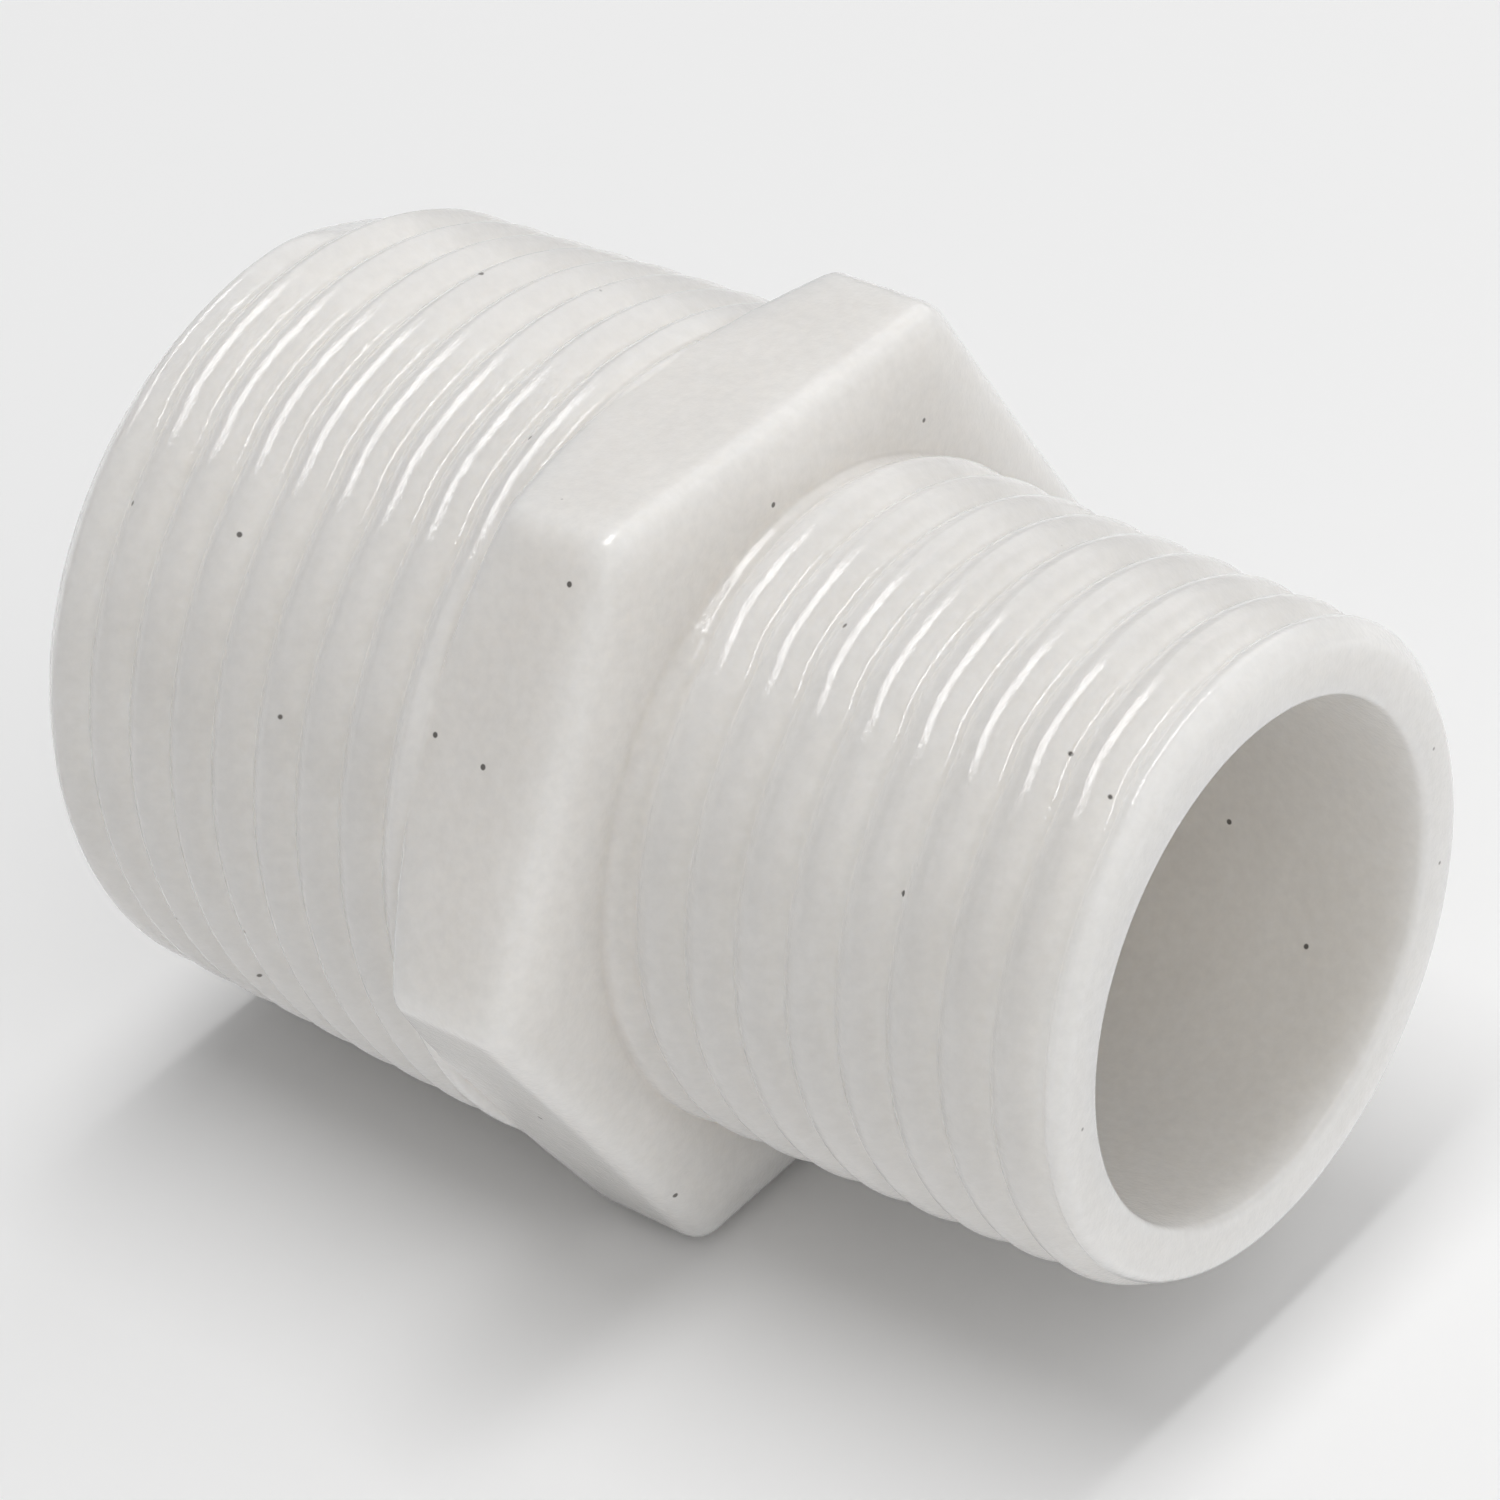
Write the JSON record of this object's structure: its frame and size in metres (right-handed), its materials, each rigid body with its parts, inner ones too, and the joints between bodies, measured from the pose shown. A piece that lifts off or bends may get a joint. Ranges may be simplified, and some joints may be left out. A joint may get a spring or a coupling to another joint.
{
  "type": "reducing pipe nipple",
  "caption": "Moulded plastic reducing nipple with male taper pipe threads of different sizes on a hexagonal wrench collar and a through bore.",
  "frame": {"origin": "centre of the large end face, on the axis of both threads", "axes": "+X along the axis from the large end to the small end, +Z square to one pair of wrench flats, +Y towards a corner of the hexagon"},
  "size_m": [0.038, 0.0304, 0.027],
  "materials": {
    "natural_nylon": "translucent natural white nylon, moulded, satin"
  },
  "bodies": {
    "root": {"fitting_body": "natural_nylon"}
  },
  "joints": []
}
